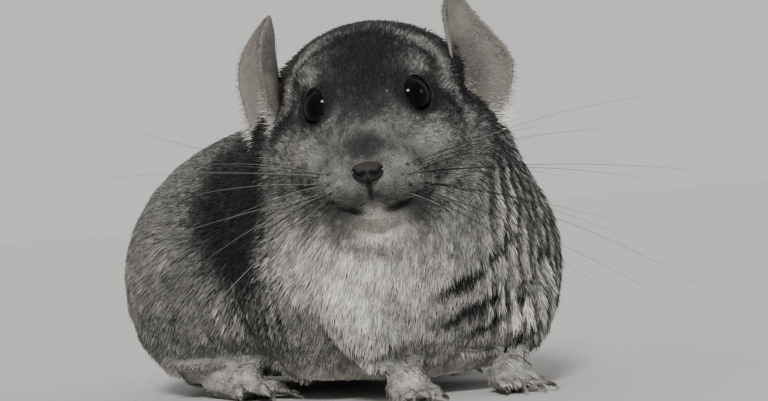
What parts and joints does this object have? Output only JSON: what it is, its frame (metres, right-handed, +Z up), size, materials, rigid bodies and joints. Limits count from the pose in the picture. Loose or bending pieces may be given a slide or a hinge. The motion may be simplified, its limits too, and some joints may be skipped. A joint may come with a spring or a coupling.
{
  "type": "chinchilla",
  "caption": "Life-size grey chinchilla crouching on its four feet, head raised and turned to its right, tail curled round on the floor.",
  "frame": {"origin": "middle of the bounding box at floor level, under the soles", "axes": "+Y from the shoulders back to the rump, +X towards the animal's left side, +Z up"},
  "size_m": [0.2584, 0.319, 0.1407],
  "materials": {
    "grey_coat": "dense soft fur, mid grey with black ticking",
    "pale_coat": "short soft fur, pale grey to cream",
    "dark_coat": "long bristly fur, dark grey and black",
    "ear_skin": "thin grey-brown skin with fine pale hairs",
    "eye": "wet gloss, almost black"
  },
  "bodies": {
    "root": {"head": "grey_coat", "eye_left": "eye", "eye_right": "eye", "whisker_pad_left": "pale_coat", "whisker_pad_right": "pale_coat", "ear_left": "ear_skin", "ear_right": "ear_skin", "neck": "grey_coat", "torso": "grey_coat", "foreleg_left": "grey_coat", "foreleg_right": "grey_coat", "forefoot_left": "pale_coat", "forefoot_right": "pale_coat", "hindleg_left": "grey_coat", "hindleg_right": "grey_coat", "hindfoot_left": "pale_coat", "hindfoot_right": "pale_coat", "tail_base": "dark_coat", "tail_middle": "dark_coat", "tail_tip": "dark_coat"}
  },
  "joints": []
}
